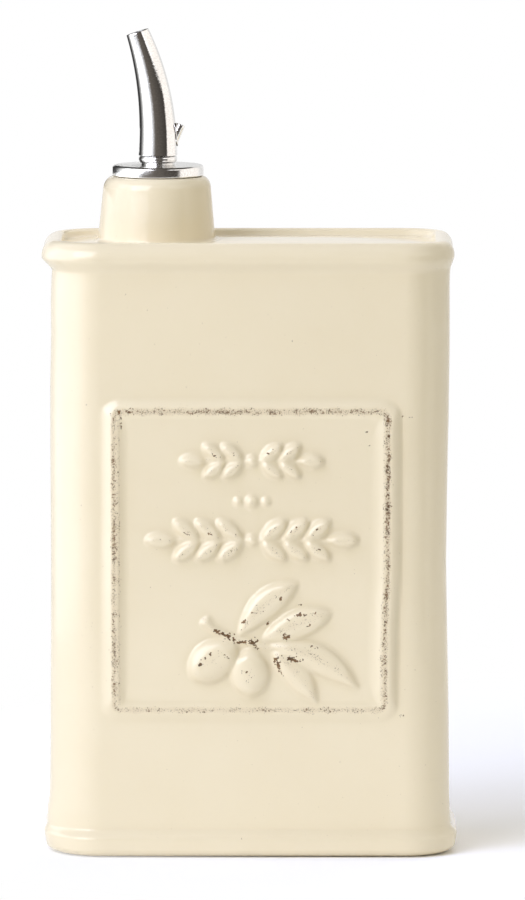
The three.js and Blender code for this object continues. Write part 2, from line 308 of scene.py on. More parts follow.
# relief on the front panel, in mm from the panel's middle: u to the right, v up
panel = {
    "x": 1.1, "z": 95, "halfWidth": 43.3, "halfHeight": 47.75, "corner": 2.2, "frameShift": -0.18,
    "frameTurn": 4.0, "frameReach": 5.8, "cornerFall": 0.28, "cornerReach": 3.6, "raised": 0.95,
    "tilt": 0.0072, "soften": 0.36, "cell": 0.2, "reachU": 53.0, "reachV": 55.0, "margin": 0.5, "facing": -0.6,
    "hollowReach": 1.6, "hollowDepth": 0.35, "hollowSoften": 0.3, "wearSoften": 0.25, "chipSpread": 1.12,
    "slip": [(0.95, -13, 4)],  # soft step of the right side: rise, place, length
    "ridge": {  # half of the flat top, flank out and in, height, start and end of the fall out and in
        "left": (1.05, 4.4, 3.3, 2.15, 1.15, 2.0, 1.0, 1.9), "right": (1.1, 3.2, 4.9, 2.2, 1.9, 1.35, 1.0, 2.0),
        "top": (1.0, 3.2, 1.6, 1.5, 1.8, 2.0, 1.5, 2.0), "foot": (0.8, 3.8, 2.0, 1.05, 1.6, 2.0, 1.6, 2.0)},
    "wear": {  # middle of the worn line, its spread, strength of the second line along the inner edge
        "left": (0.3, 0.98, 0.9), "right": (0.05, 0.95, 0.85), "top": (-0.15, 1.3, 0.0),
        "foot": (0.0, 1.15, 0.0)},
    "worn": {  # strength along each side: level, waves, bumps, steps
        "left": (1.18, [(0.08, 0.21, 0.5), (0.05, 0.57, 0)]),
        "right": (1.35, [(0.05, 0.45, 0)], [], [(-0.2, -16, 4)]),
        "top": (1.06, [], [(0.16, -5, 9), (0.12, 18, 4)], [(-0.2, 34, -1)]),
        "foot": (0.93, [(0.09, 0.33, 1.0), (0.05, 0.81, 0)])},
    "ripple": (0.2, 0.9, 0.7), "lineFall": 2.4, "secondLine": (-1.25, 0.5),
    "coreSway": (0.05, [(0.22, 0.8, 0), (0.12, 2.1, 1)]), "coreLevel": (1.2, [], [], [(-0.3, -16, 4)]),
    "coreSpread": 0.5, "coreInset": 1,
}
sprig = {
    "leaves": [  # stalk, tip, width, bend of the midline, rise, fullness, belly
        ((-4.4, -24.0), (14.6, -6.9), 9.0, 0.062, 2.0, 0.72, 1.16),
        ((3.2, -25.2), (25.4, -16.4), 9.2, 0.016, 1.9, 0.72, 1.1),
        ((5.6, -26.8), (34.2, -41.2), 9.4, 0.086, 2.1, 0.9, 0.98),
        ((6.2, -28.6), (20.7, -45.7), 8.0, 0.045, 1.9, 0.86, 1.0),
    ],
    "olives": [  # the same, and the flatness of the top
        ((-4.8, -26.4), (-19.5, -37.2), 13.0, 0.0, 2.8, 0.56, 1.1, 2.0),
        ((-0.1, -27.9), (-1.2, -43.5), 12.8, 0.0, 2.8, 0.56, 1.1, 2.0),
    ],
    "twig": [  # place and radius, from the flared cut end
        (-15.6, -18.4, 1.9), (-14.2, -20.0, 1.4), (-12.6, -21.6, 1.1), (-10.0, -23.0, 1.0), (-6.4, -24.8, 1.0),
        (-0.4, -26.2, 1.0), (3.4, -27.2, 0.9), (6.4, -28.0, 0.8)],
    "twigCut": ((-15.2, -18.9), (0.64, -0.77)), "twigRise": 1.25, "twigTop": 1.5,
    # wear: middle and spread of each rub, its strength, and what the stalk's half of a leaf has on top
    "leafRub": (0.1, 0.45), "leafWear": 0.56, "stalkWear": 0.12, "oliveRub": (-0.05, 0.22),
    "oliveAlong": (0.5, 0.25), "oliveWear": 0.5, "twigRub": (0, 0.95), "twigWear": 0.5,
}
garland = {
    "rows": [  # height on the panel, half length, leaf length, leaf width, pairs of leaves
        (31.9, 23.0, 8.8, 4.3, 2),
        (6.6, 34.0, 10.6, 5.0, 3),
    ],
    "splay": 37, "rise": 2.0, "firstLeaf": 2.6, "stemRadius": 0.8, "stemRise": 1.1, "stemEnd": 5,
    "knobRadius": 1.9, "knobRise": 0.88, "beadRow": 18.9, "beads": [(-4.4, 1.5), (0, 2.1), (4.4, 1.5)],
    "beadRise": 0.75, "wear": 0.6, "leafRub": 0.4, "beadRub": 0.6, "chipAcross": 0.25, "chip": 0.5,
    "chipAlong": (0.45, 0.2), "chipLevel": 0.95, "chipVary": (0.45, 1.7, 2.3),
}
# places where the glaze has chipped: from, to, half width, strength
chipped = [
    ((-11.7, -22.2), (-8.2, -24.0), 0.55, 1.7), ((-7.4, -24.2), (-6.0, -25.0), 1.3, 1.8),
    ((-4.6, -25.8), (-0.6, -25.7), 0.55, 1.75), ((-0.3, -25.9), (0.8, -26.4), 1.25, 1.8),
    ((0.8, -26.9), (2.2, -28.4), 1.0, 1.05), ((10.4, -24.0), (10.8, -24.3), 1.1, 1.7),
    ((7.6, -31.8), (8.4, -33.2), 1.1, 1.75), ((8.2, -33.6), (9.6, -37.0), 0.5, 1.3),
    ((8.6, -30.5), (10.6, -30.9), 0.55, 1.1), ((11.9, -30.9), (14.1, -31.8), 1.0, 1.6),
    ((15.2, -31.9), (16.3, -31.5), 0.6, 1.1), ((14.6, -17.0), (16.6, -17.1), 0.6, 1.5),
    ((18.6, -16.8), (20.2, -16.9), 0.6, 1.3), ((15.0, -14.1), (15.5, -14.1), 0.5, 1.2),
    ((17.7, -20.5), (18.1, -20.4), 0.6, 1.2), ((10.6, -18.4), (12.6, -18.8), 0.5, 0.9),
    ((8.8, -12.1), (9.1, -11.6), 0.6, 1.6), ((4.4, -20.1), (5.0, -19.7), 0.65, 1.4),
    ((-3.0, -19.7), (-2.2, -18.9), 0.6, 1.15), ((-0.2, -16.8), (0.4, -16.2), 0.6, 1.1),
    ((1.6, -14.1), (2.0, -13.8), 0.5, 1.0), ((-16.9, -33.2), (-16.0, -32.4), 0.6, 1.3),
    ((-16.6, -31.5), (-16.2, -31.3), 0.5, 1.2), ((-14.9, -31.0), (-14.4, -30.6), 0.55, 1.3),
    ((-13.4, -29.6), (-13.0, -29.3), 0.55, 1.45), ((-10.8, -28.8), (-10.4, -28.6), 0.5, 1.4),
    ((-8.4, -30.0), (-7.6, -30.8), 0.55, 1.3), ((-3.0, -35.1), (-1.6, -35.3), 0.65, 1.25),
    ((0.1, -36.6), (0.5, -36.8), 0.5, 1.1), ((-2.2, -38.1), (-1.8, -38.2), 0.6, 1.2),
    ((18.6, -26.9), (20.8, -27.8), 0.45, 0.85), ((-44.0, 47.0), (-38.8, 47.5), 1.0, 1.12),
    ((-41.6, 45.8), (-41.5, 42.6), 0.6, 1.0), ((43.3, 46.0), (43.3, 39.0), 0.6, 0.95),
    ((43.3, 33.5), (43.3, 30.5), 0.7, 0.9), ((43.3, 21.5), (43.3, 17.0), 0.75, 1.1),
    ((43.3, 8.0), (43.3, -4.0), 0.55, 0.85), ((36.0, 41.0), (36.5, 40.6), 0.5, 1.3),
    ((37.1, 36.9), (37.5, 36.6), 0.5, 1.2), ((47.0, 46.2), (53.0, 45.4), 0.7, 0.95),
    ((47.6, -49.6), (48.2, -49.8), 0.6, 0.95),
]


def bell(values, middle, spread):
    return np.exp(-((values - middle) / spread) ** 2)


def dome(away, radius):
    return np.sqrt(np.clip(radius ** 2 - away ** 2, 0, None))


# a level with waves (depth, pitch, phase), bumps (rise, middle, spread) and soft steps (rise, place, length)
def alongSide(t, level, waves=(), bumps=(), steps=()):
    level = level + sum(depth * np.sin(t * pitch + phase) for depth, pitch, phase in waves)
    level = level + sum(rise * bell(t, middle, spread) for rise, middle, spread in bumps)
    return level + sum(rise / (1 + np.exp((t - place) / length)) for rise, place, length in steps)


def segmentDistance(u, v, a, b):
    du, dv = b[0] - a[0], b[1] - a[1]
    share = np.clip(((u - a[0]) * du + (v - a[1]) * dv) / (du * du + dv * dv), 0, 1)
    return np.hypot(u - a[0] - share * du, v - a[1] - share * dv), share


# a leaf's height, the place across it from -1 to 1 and far outside it 9, the place along it
def leafShape(u, v, stalk, tip, width, bend, rise, full=0.72, belly=1.16, flat=2.5):
    du, dv = tip[0] - stalk[0], tip[1] - stalk[1]
    length = math.hypot(du, dv)
    along = ((u - stalk[0]) * du + (v - stalk[1]) * dv) / length ** 2
    across = (-(u - stalk[0]) * dv + (v - stalk[1]) * du) / length
    s = np.clip(along, 1e-4, 1 - 1e-4)
    across = across - bend * length * 4 * s * (1 - s)
    swell = np.sin(np.pi * s ** belly)
    half = 0.5 * width * swell ** full
    ratio = np.abs(across) / half
    inside = (ratio < 1) & (along > 0) & (along < 1)
    height = rise * np.sqrt(np.clip(1 - ratio ** flat, 0, 1)) * np.minimum(1, swell * 1.8) ** 0.5
    return np.where(inside, height, 0), np.where(inside, across / half, 9), s


def blurMap(values, sigma):
    reach = int(math.ceil(3 * sigma))
    taps = np.exp(-0.5 * (np.arange(-reach, reach + 1) / sigma) ** 2)
    taps /= taps.sum()
    for axis in (0, 1):
        padded = np.pad(values, [(reach, reach) if a == axis else (0, 0) for a in (0, 1)], mode="edge")
        size = values.shape[axis]
        values = sum(t * np.take(padded, range(i, i + size), axis=axis) for i, t in enumerate(taps))
    return values


def frameDistance(u, v):
    r = panel["corner"]
    slip = (u > 0) * alongSide(v, 0, steps=panel["slip"])
    qu = np.abs(u + slip - panel["frameShift"]) - panel["halfWidth"] + r
    qv = np.abs(v) - panel["halfHeight"] + r
    return np.hypot(np.maximum(qu, 0), np.maximum(qv, 0)) + np.minimum(np.maximum(qu, qv), 0) - r


def frameRidge(u, v, distance):
    fromSide, fromEnd = np.abs(u) - panel["halfWidth"], np.abs(v) - panel["halfHeight"]
    upright = np.clip(0.5 + 0.5 * (fromSide - fromEnd) / panel["frameTurn"], 0, 1)

    def bySide(left, right, top, foot):
        return upright * np.where(u > 0, right, left) + (1 - upright) * np.where(v > 0, top, foot)

    sides = [bySide(*values) for values in zip(*panel["ridge"].values())]
    flat, outer, inner, crest, outerStart, outerEnd, innerStart, innerEnd = sides
    crest = crest * (1 - panel["cornerFall"] * bell(np.hypot(fromSide, fromEnd), 0, panel["cornerReach"]))
    away = np.clip(np.abs(distance) - flat, 0, None)
    outside = (1 - np.clip(away / outer, 0, 1) ** outerStart) ** outerEnd
    inside = (1 - np.clip(away / inner, 0, 1) ** innerStart) ** innerEnd
    ground = np.where(distance > 0, 0, panel["raised"] + panel["tilt"] * v)
    return ground + (crest - ground) * np.where(distance > 0, outside, inside)


def frameWear(u, v, distance):
    onSide = np.abs(u) / panel["halfWidth"] > np.abs(v) / panel["halfHeight"]

    def bySide(left, right, top, foot):
        return np.where(onSide, np.where(u > 0, right, left), np.where(v > 0, top, foot))

    middle, spread, second = (bySide(*values) for values in zip(*panel["wear"].values()))
    strength = bySide(*(alongSide(t, *worn) for t, worn in zip((v, v, u, u), panel["worn"].values())))
    depth, pitchU, pitchV = panel["ripple"]
    spread = spread * (1 + depth * np.sin(u * pitchU + v * pitchV))
    line = strength * np.exp(-np.abs((distance - middle) / spread) ** panel["lineFall"])
    return np.maximum(line, second * bell(distance, *panel["secondLine"]))


# the right side has worn through in one wandering line
def frameCore(u, v, distance):
    onRight = (u > 0) & (np.abs(v) < panel["halfHeight"] - panel["coreInset"])
    line = bell(distance, alongSide(v, *panel["coreSway"]), panel["coreSpread"])
    return np.where(onRight, alongSide(v, *panel["coreLevel"]) * line, 0)


def garlandLeaves(row, reach, length, pairs):
    splay = math.radians(garland["splay"])
    first = garland["firstLeaf"]
    step = (reach - length - first) / pairs
    for side in (-1, 1):
        for x in [first + step * k for k in range(pairs)]:
            tip = side * (x + length * math.cos(splay))
            for up in (-1, 1):
                yield (side * x, row), (tip, row + up * length * math.sin(splay))
        yield (side * (reach - length), row), (side * reach, row)


def reliefMaps():
    cell = panel["cell"]
    us = np.arange(-panel["reachU"], panel["reachU"] + cell, cell)
    vs = np.arange(-panel["reachV"], panel["reachV"] + cell, cell)
    u, v = np.meshgrid(us, vs)
    distance = frameDistance(u, v)
    maps = {"raised": np.zeros_like(u), "wear": frameWear(u, v, distance), "chips": frameCore(u, v, distance)}

    def lay(name, values):
        maps[name] = np.maximum(maps[name], values)

    for leaf in sprig["leaves"]:
        height, ratio, s = leafShape(u, v, *leaf)
        lay("raised", height)
        lay("wear", bell(ratio, *sprig["leafRub"]) * (sprig["leafWear"] + sprig["stalkWear"] * (s < 0.5)))
    for olive in sprig["olives"]:
        height, ratio, s = leafShape(u, v, *olive)
        lay("raised", height)
        lay("wear", bell(ratio, *sprig["oliveRub"]) * bell(s, *sprig["oliveAlong"]) * sprig["oliveWear"])
    (cutU, cutV), (wayU, wayV) = sprig["twigCut"]
    kept = (u - cutU) * wayU + (v - cutV) * wayV > 0
    for (u0, v0, r0), (u1, v1, r1) in zip(sprig["twig"], sprig["twig"][1:]):
        away, share = segmentDistance(u, v, (u0, v0), (u1, v1))
        lift = np.minimum(sprig["twigRise"] * dome(away, r0 + (r1 - r0) * share), sprig["twigTop"])
        lay("raised", np.where(kept, lift, 0))
        lay("wear", sprig["twigWear"] * bell(away, *sprig["twigRub"]))

    g = garland
    for row, reach, length, width, pairs in g["rows"]:
        stem = reach - g["stemEnd"]
        away = segmentDistance(u, v, (-stem, row), (stem, row))[0]
        lay("raised", g["stemRise"] * dome(away, g["stemRadius"]))
        lay("raised", g["knobRise"] * dome(np.hypot(u, v - row), g["knobRadius"]))
        for stalk, tip in garlandLeaves(row, reach, length, pairs):
            height, ratio, s = leafShape(u, v, stalk, tip, width, 0.0, g["rise"])
            lay("raised", height)
            lay("wear", g["wear"] * bell(ratio, 0, g["leafRub"]))
            vary, byStalk, byTip = g["chipVary"]
            strength = g["chipLevel"] + vary * math.sin(byStalk * stalk[0] + byTip * tip[1])
            across = (ratio - g["chipAcross"]) * 0.5 * width
            lay("chips", strength * bell(across, 0, g["chip"]) * bell(s, *g["chipAlong"]))
    for x, radius in g["beads"]:
        away = np.hypot(u - x, v - g["beadRow"])
        lay("raised", g["beadRise"] * dome(away, radius))
        lay("wear", g["wear"] * bell(away, 0, g["beadRub"] * radius))
    for start, stop, half, strength in chipped:
        away = segmentDistance(u, v, start, stop)[0]
        lay("chips", strength * bell(away, 0, panel["chipSpread"] * half))

    height = frameRidge(u, v, distance) + blurMap(maps["raised"], panel["soften"] / cell)
    hollow = np.clip((blurMap(height, panel["hollowReach"] / cell) - height) / panel["hollowDepth"], 0, 1)
    return {"lift": height, "wear": blurMap(maps["wear"], panel["wearSoften"] / cell), "chips": maps["chips"],
            "hollow": blurMap(hollow, panel["hollowSoften"] / cell)}


def sampleMap(values, u, v):
    fu = np.clip((u + panel["reachU"]) / panel["cell"], 0, values.shape[1] - 1.001)
    fv = np.clip((v + panel["reachV"]) / panel["cell"], 0, values.shape[0] - 1.001)
    iu, iv = fu.astype(int), fv.astype(int)
    au, av = fu - iu, fv - iv
    low = values[iv, iu] * (1 - au) + values[iv, iu + 1] * au
    high = values[iv + 1, iu] * (1 - au) + values[iv + 1, iu + 1] * au
    return low * (1 - av) + high * av


# the jar: one skin from the recess under the foot, over the rim and the neck, to the floor inside
jar = {
    "width": 127.2, "depth": 61.2, "height": 196, "corner": 17, "rightCorner": 14, "wall": 4.6, "waist": 0.7,
    "topReach": 2.1, "topBead": 10, "topRound": 5, "crown": 2.2, "innerReach": 2.1, "innerDrop": 1.5,
    "deckDrop": 2.4, "deckEdge": 5.2, "deckCrown": 1.5, "footReach": 2.5, "footBead": 9, "footTop": 5.8,
    "footRound": 2.6, "footInset": 2.6, "footLand": 5.5, "recess": 2, "recessSlope": 1, "recessRound": 0.5,
    "landRound": 0.4, "floor": 7, "insideRound": 8, "frontSteps": 169, "panelSteps": 179, "sideSteps": 8,
    "backSteps": 18, "cornerSteps": 18, "cornerCrowd": 1.35, "backCornerSteps": 12,
    "deckFillet": [(0.55, 0.55), (0.2, 0.24), (-0.25, 0.07), (-0.8, 0)],  # out and up from the deck's edge
    "deckRings": (0.06, 0.12, 0.2, 0.3, 0.4, 0.5, 0.6, 0.7, 0.8, 0.9, 1), "ceilingRings": (0.15, 0.4, 0.7, 1),
    "wobble": 0.07, "wobbleFrom": 3, "wobbleReach": 12,
    "waves": [  # depth, pitch along x, y and z, phase
        (1, 0.071, 0, 0.043, 0.6), (0.8, -0.037, 0.12, 0.094, 2.1), (0.6, 0, 0.17, 0.061, 0)],
    "leftWall": [  # height, how far the wall stands out
        (0, -1.4), (4.5, -1.1), (6.2, -0.5), (8.4, 1.0), (12, 1.2), (18, 0.3), (40, 0.15), (94, 0.2),
        (130, 0.1), (150, 0.0), (165, -0.5), (178, -0.6), (183, -0.9), (186.5, -1.1), (190, 0.2), (196, 0.0)],
    "rightWall": [
        (0, -0.3), (4, 0.1), (8.4, 1.2), (16, 0.8), (45, 0.7), (70, 0.4), (94, 0.05), (117, 0.4), (140, 0.8),
        (160, 0.7), (183, 0.25), (186.5, 0.4), (190, -0.4), (196, 0.0)],
}
neck = {
    "x": -28.9, "top": 215.5, "rim": 215.1, "radiusTop": 16.9, "radiusFoot": 18.2, "fillet": 2.2, "shoulder": 4,
    "land": 14, "bore": 11, "chamfer": 0.8, "leftFoot": 0.95, "leftTop": 0.65, "footStep": 0.8, "lipStep": 0.5,
    "filletSteps": 9, "wallSteps": 8, "shoulderSteps": 14,
}


def jarColumns():
    halfX, halfY, left, right = jar["width"] / 2, jar["depth"] / 2, jar["corner"], jar["rightCorner"]
    leftX, leftY, rightX, rightY = halfX - left, halfY - left, halfX - right, halfY - right
    spots, ways = [], []

    def run(start, stop, steps, way):
        spots.extend(zip(*(np.linspace(a, b, steps + 1) for a, b in zip(start, stop))))
        ways.extend([way] * (steps + 1))

    def bend(cx, cy, r, angles):
        for a in np.radians(angles):
            spots.append((cx + r * math.cos(a), cy + r * math.sin(a)))
            ways.append((math.cos(a), math.sin(a)))

    fine = 90 * np.linspace(0, 1, jar["cornerSteps"] + 1)[1:-1] ** jar["cornerCrowd"]
    even = np.linspace(0, 90, jar["backCornerSteps"] + 1)[1:-1]
    run((-leftX, -halfY), (rightX, -halfY), jar["frontSteps"], (0, -1))
    bend(rightX, -rightY, right, -90 + fine)
    run((halfX, -rightY), (halfX, rightY), jar["sideSteps"], (1, 0))
    bend(rightX, rightY, right, even)
    run((rightX, halfY), (-leftX, halfY), jar["backSteps"], (0, 1))
    bend(-leftX, leftY, left, 90 + even)
    run((-halfX, leftY), (-halfX, -leftY), jar["sideSteps"], (-1, 0))
    bend(-leftX, -leftY, left, (270 - fine)[::-1])
    return np.array(spots), np.array(ways)


def wallHeights(low, high):
    start = panel["z"] - panel["halfHeight"] - panel["frameReach"]
    stop = panel["z"] + panel["halfHeight"] + panel["frameReach"]
    below, above = np.linspace(low + 1.2, start - 2, 9), np.linspace(stop + 2, high - 1.2, 10)
    return np.concatenate([below, np.linspace(start, stop, jar["panelSteps"] + 1), above])


# the wall's profile from the recess to the deck, the deck's height, and the count of unglazed rings
def outsideProfile():
    footBead, topBead = jar["footBead"], jar["height"] - jar["topBead"]
    beadTop, deck = jar["height"] - jar["topRound"], jar["height"] - jar["deckDrop"]
    inset, edge, small, drop = jar["footInset"], jar["recessRound"], jar["landRound"], jar["innerDrop"]
    land = -inset - jar["footLand"]
    slope = land - jar["recessSlope"]
    foot = [(slope - 3, jar["recess"])]
    foot += arcPoints(slope - edge, jar["recess"] - edge, edge, 90, 30, 3)
    foot += arcPoints(land + small, small, small, 200, 270, 3)
    foot += [(land + 1, 0), (-inset - 1, 0)]
    bareRings = len(foot) - 1
    foot += arcPoints(-inset, jar["footRound"], (inset + jar["footReach"], jar["footRound"]), -90, 0, 15)
    foot += easePoints((jar["footReach"], jar["footTop"]), (0, footBead), 12)
    heights = wallHeights(footBead, topBead)
    draw = -jar["waist"] * np.sin(np.pi * (heights - footBead) / (topBead - footBead))
    rim = easePoints((0, topBead), (jar["topReach"], beadTop), 12)
    rim += arcPoints(-jar["crown"], beadTop, (jar["crown"] + jar["topReach"], jar["topRound"]), 0, 90, 18)[1:]
    rim += arcPoints(-jar["crown"], jar["height"] - drop, (jar["innerReach"], drop), 90, 165, 8)[1:]
    rim += [(out - jar["deckEdge"], deck + up) for out, up in jar["deckFillet"]]
    return foot + list(zip(draw, heights)) + rim, deck, bareRings


def jarRings(spots, ways, outside, deck):
    def around(offset, z):
        return np.column_stack([spots + ways * offset, np.full(len(spots), z)])

    rings = [around(d, z) for d, z in outside]
    last = rings[-1]
    turn = np.arctan2(last[:, 1], last[:, 0] - neck["x"])
    reachX, reachY = np.abs(last[:, :2]).max(axis=0)

    def circle(radius, z, left=0.0):
        across = radius * np.cos(turn) - left * (0.5 - 0.5 * np.cos(turn)) ** 2
        return np.column_stack([neck["x"] + across, radius * np.sin(turn), np.full(len(turn), z)])

    def crowned(ring, share):
        swell = np.clip(1 - (ring[:, 1] / reachY) ** 2, 0, 1) * np.clip(1 - (ring[:, 0] / reachX) ** 4, 0, 1)
        return ring + np.outer(jar["deckCrown"] * share * swell, (0, 0, 1))

    rim, fillet, chamfer, bore = (neck[key] for key in ("rim", "fillet", "chamfer", "bore"))
    foot, top, leftFoot, leftTop = (neck[key] for key in ("radiusFoot", "radiusTop", "leftFoot", "leftTop"))
    start = circle(foot + fillet + neck["footStep"], deck, leftFoot)
    rings += [crowned(last + (start - last) * t, 1) for t in jar["deckRings"]]
    steps = neck["filletSteps"]
    curve = arcPoints(foot + fillet, deck + fillet, fillet, 270, 180, steps)
    rings += [crowned(circle(r, z, leftFoot), 1 - k / steps) for k, (r, z) in enumerate(curve)]
    low, high = deck + fillet, rim - neck["shoulder"]
    for t in np.linspace(0, 1, neck["wallSteps"] + 1)[1:-1]:
        left = leftFoot + (leftTop - leftFoot) * t
        rings.append(circle(foot + (top - foot) * t, low + (high - low) * t, left))
    steps = neck["shoulderSteps"]
    curve = arcPoints(neck["land"], high, (top - neck["land"], neck["shoulder"]), 0, 90, steps)
    rings += [circle(r, z, leftTop * (1 - k / steps)) for k, (r, z) in enumerate(curve)]
    rings.append(circle(bore + chamfer + neck["lipStep"], rim))
    rings += [circle(r, z) for r, z in arcPoints(bore + chamfer, rim - chamfer, chamfer, 90, 180, 5)]

    ceiling, wall, rounding = deck - jar["wall"], -jar["wall"], jar["insideRound"]
    rings += [circle(bore, z) for z in np.linspace(rim - 4, ceiling + 1.5, 6)]
    rings += [circle(r, z) for r, z in arcPoints(bore + 1, ceiling + 1, 1, 180, 270, 4)]
    inner, high, low = wall - rounding, ceiling - rounding, jar["floor"] + rounding
    first, outer = rings[-1], around(inner, ceiling)
    rings += [first + (outer - first) * t for t in jar["ceilingRings"]]
    rings += [around(d, z) for d, z in arcPoints(inner, high, rounding, 90, 0, 8)[1:]]
    rings += [around(wall, z) for z in np.linspace(high - 6, low + 6, 7)]
    rings += [around(d, z) for d, z in arcPoints(inner, low, rounding, 0, -90, 8)]
    return rings


def makeJar():
    spots, ways = jarColumns()
    outside, deck, bareRings = outsideProfile()
    rings = jarRings(spots, ways, outside, deck)
    count = len(spots)
    flat = np.concatenate(rings)
    facing = np.tile(ways, (len(rings), 1))
    ringNumber = np.arange(len(flat)) // count
    outer = ringNumber < len(outside)
    x, y, z = flat.T
    u, v = x - panel["x"], z - panel["z"]
    near = (np.abs(u) < panel["reachU"] - panel["margin"]) & (np.abs(v) < panel["reachV"] - panel["margin"])
    front = outer & near & (facing[:, 1] < panel["facing"])
    found = {name: np.where(front, sampleMap(values, u, v), 0) for name, values in reliefMaps().items()}
    wave = sum(depth * np.sin(x * px + y * py + z * pz + phase) for depth, px, py, pz, phase in jar["waves"])
    grow = np.clip((z - jar["wobbleFrom"]) / jar["wobbleReach"], 0, 1) * outer
    push = found["lift"] + jar["wobble"] * wave * grow
    left, right = (np.interp(z, *np.transpose(jar[key])) for key in ("leftWall", "rightWall"))
    side = np.where(facing[:, 0] > 0, right, left) * facing[:, 0]
    flat[:, 0] += np.where(outer & (ringNumber > bareRings), side, 0)
    flat[:, :2] += facing * push[:, None]
    shaped = flat.reshape(len(rings), count, 3)
    mesh = ringMesh("jarGlazed", shaped, ((0, 0, jar["recess"]), (0, 0, jar["floor"])))
    for name in ("wear", "chips", "hollow"):
        layer = mesh.attributes.new(name, "FLOAT", "POINT")
        layer.data.foreach_set("value", np.append(found[name], (0, 0)).astype(np.float32))
    mesh.materials.append(creamGlaze)
    mesh.materials.append(firedClay)
    face = np.arange(len(mesh.polygons))
    sides = (len(rings) - 1) * count
    bare = (face < bareRings * count) | ((face >= sides) & (face < sides + count))
    mesh.polygons.foreach_set("material_index", bare.astype(np.int32))
    mesh.update()
    print("jar rings", len(rings), "columns", count, "faces", len(mesh.polygons))
    return mesh


def newPiece(name, mesh, body, nodes):
    made = addObject(name, mesh)
    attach(made, body)
    if nodes:
        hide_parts(*nodes)


newPiece("jar_glazed", makeJar(), "jar", ["jar_body"])
print("jar made")


# the pourer is measured from the neck's nominal top, on the neck's axis
pourer = {
    "hubTop": 6.1, "gap": 0.1, "steps": 96, "merge": 1e-7, "sharp": 35, "tubeSharp": 40, "lipSteps": 3,
    "lipAngle": 50,
}


def turnedMesh(name, profile, material):
    turn = np.linspace(0, 2 * np.pi, pourer["steps"], endpoint=False)
    rings = []
    for r, z in profile:
        height = np.full(len(turn), z + neck["top"])
        rings.append(np.column_stack([neck["x"] + r * np.cos(turn), r * np.sin(turn), height]))
    mesh = ringMesh(name, rings + rings[:1])
    work = bmesh.new()
    work.from_mesh(mesh)
    bmesh.ops.remove_doubles(work, verts=work.verts, dist=pourer["merge"])
    bmesh.ops.recalc_face_normals(work, faces=work.faces)
    work.to_mesh(mesh)
    work.free()
    mesh.materials.append(material)
    return smoothMesh(mesh, pourer["sharp"])


cap = {
    "radius": 14.5, "sheet": 0.7, "edge": 0.95, "skirt": -0.25, "top": 3.15, "under": 1.9, "inside": 0.3,
    "bore": 5.05, "plate": [(12.6, -0.01), (7.45, 0.05), (6.15, 0.1)],  # radius, height over the top
    "hubRadius": 6.1, "hubWaist": 5.25, "hubRound": 1.3, "hubFillet": 0.4, "hubFoot": 0.5, "hubStep": 0.6,
    "hubEdge": (0.55, 0.9), "hubSink": 0.05,
}


def makeCap():
    c = cap
    radius, top, hubTop = c["radius"], c["top"], pourer["hubTop"] - c["hubSink"]
    inside, turned, fillet = c["inside"], c["sheet"] / 2, c["hubFillet"]
    profile = [(c["bore"], c["under"])]
    profile += arcPoints(radius - c["sheet"] - inside, c["under"] - inside, inside, 90, 0, 4)
    profile += arcPoints(radius - turned, c["skirt"] + turned, turned, 180, 360, 8)
    profile += arcPoints(radius - c["edge"], top - c["edge"], c["edge"], 0, 82, 12)
    profile += [(r, top + up) for r, up in c["plate"]]
    profile += arcPoints(c["hubWaist"] + fillet, top + c["hubFoot"], fillet, 270, 190, 5)
    swell = (c["hubRadius"] - c["hubWaist"], c["hubRound"])
    profile += arcPoints(c["hubWaist"], top + c["hubStep"] + c["hubRound"], swell, -85, 0, 9)
    edgeX, edgeZ = c["hubEdge"]
    profile += arcPoints(c["hubRadius"] - edgeX, hubTop - edgeZ, c["hubEdge"], 0, 90, 8)
    return turnedMesh("pourerCap", profile + [(c["bore"], hubTop)], pressedSteel)


tail = {
    "radius": 4.8, "sheet": 0.6, "top": 4.2, "bottom": -28, "flare": 0.6, "flareLength": 2, "rings": (-16, -6),
    "rimShare": 0.6,
}


def makeTail():
    t = tail
    inner, edge = t["radius"] - t["sheet"], t["sheet"] / 2
    flareTop = t["bottom"] + t["flareLength"]
    flare = easePoints((0, 0), (t["flare"], t["flareLength"]), 6)
    profile = [(t["radius"] + f, flareTop - h) for f, h in reversed(flare)]
    profile += [(t["radius"], z) for z in t["rings"]]
    profile += arcPoints(inner + edge, t["top"] - edge, edge, 0, 180, 6)
    profile += [(inner, z) for z in reversed(t["rings"])]
    profile += [(inner + f, flareTop - h) for f, h in flare]
    middle = (t["radius"] + inner) / 2 + t["flare"]
    profile += arcPoints(middle, t["bottom"], (edge, edge * t["rimShare"]), 180, 360, 6)[1:-1]
    return turnedMesh("pourerTail", profile, polishedSteel)


def finishTree(graph, leave, shape, finish):
    real = graph.add("GeometryNodeRealizeInstances", {"Geometry": shape})
    done = graph.add("GeometryNodeSetMaterial", {"Geometry": real.outputs["Geometry"], "Material": finish})
    graph.fill(leave, {0: done.outputs["Geometry"]})
    return graph.tree


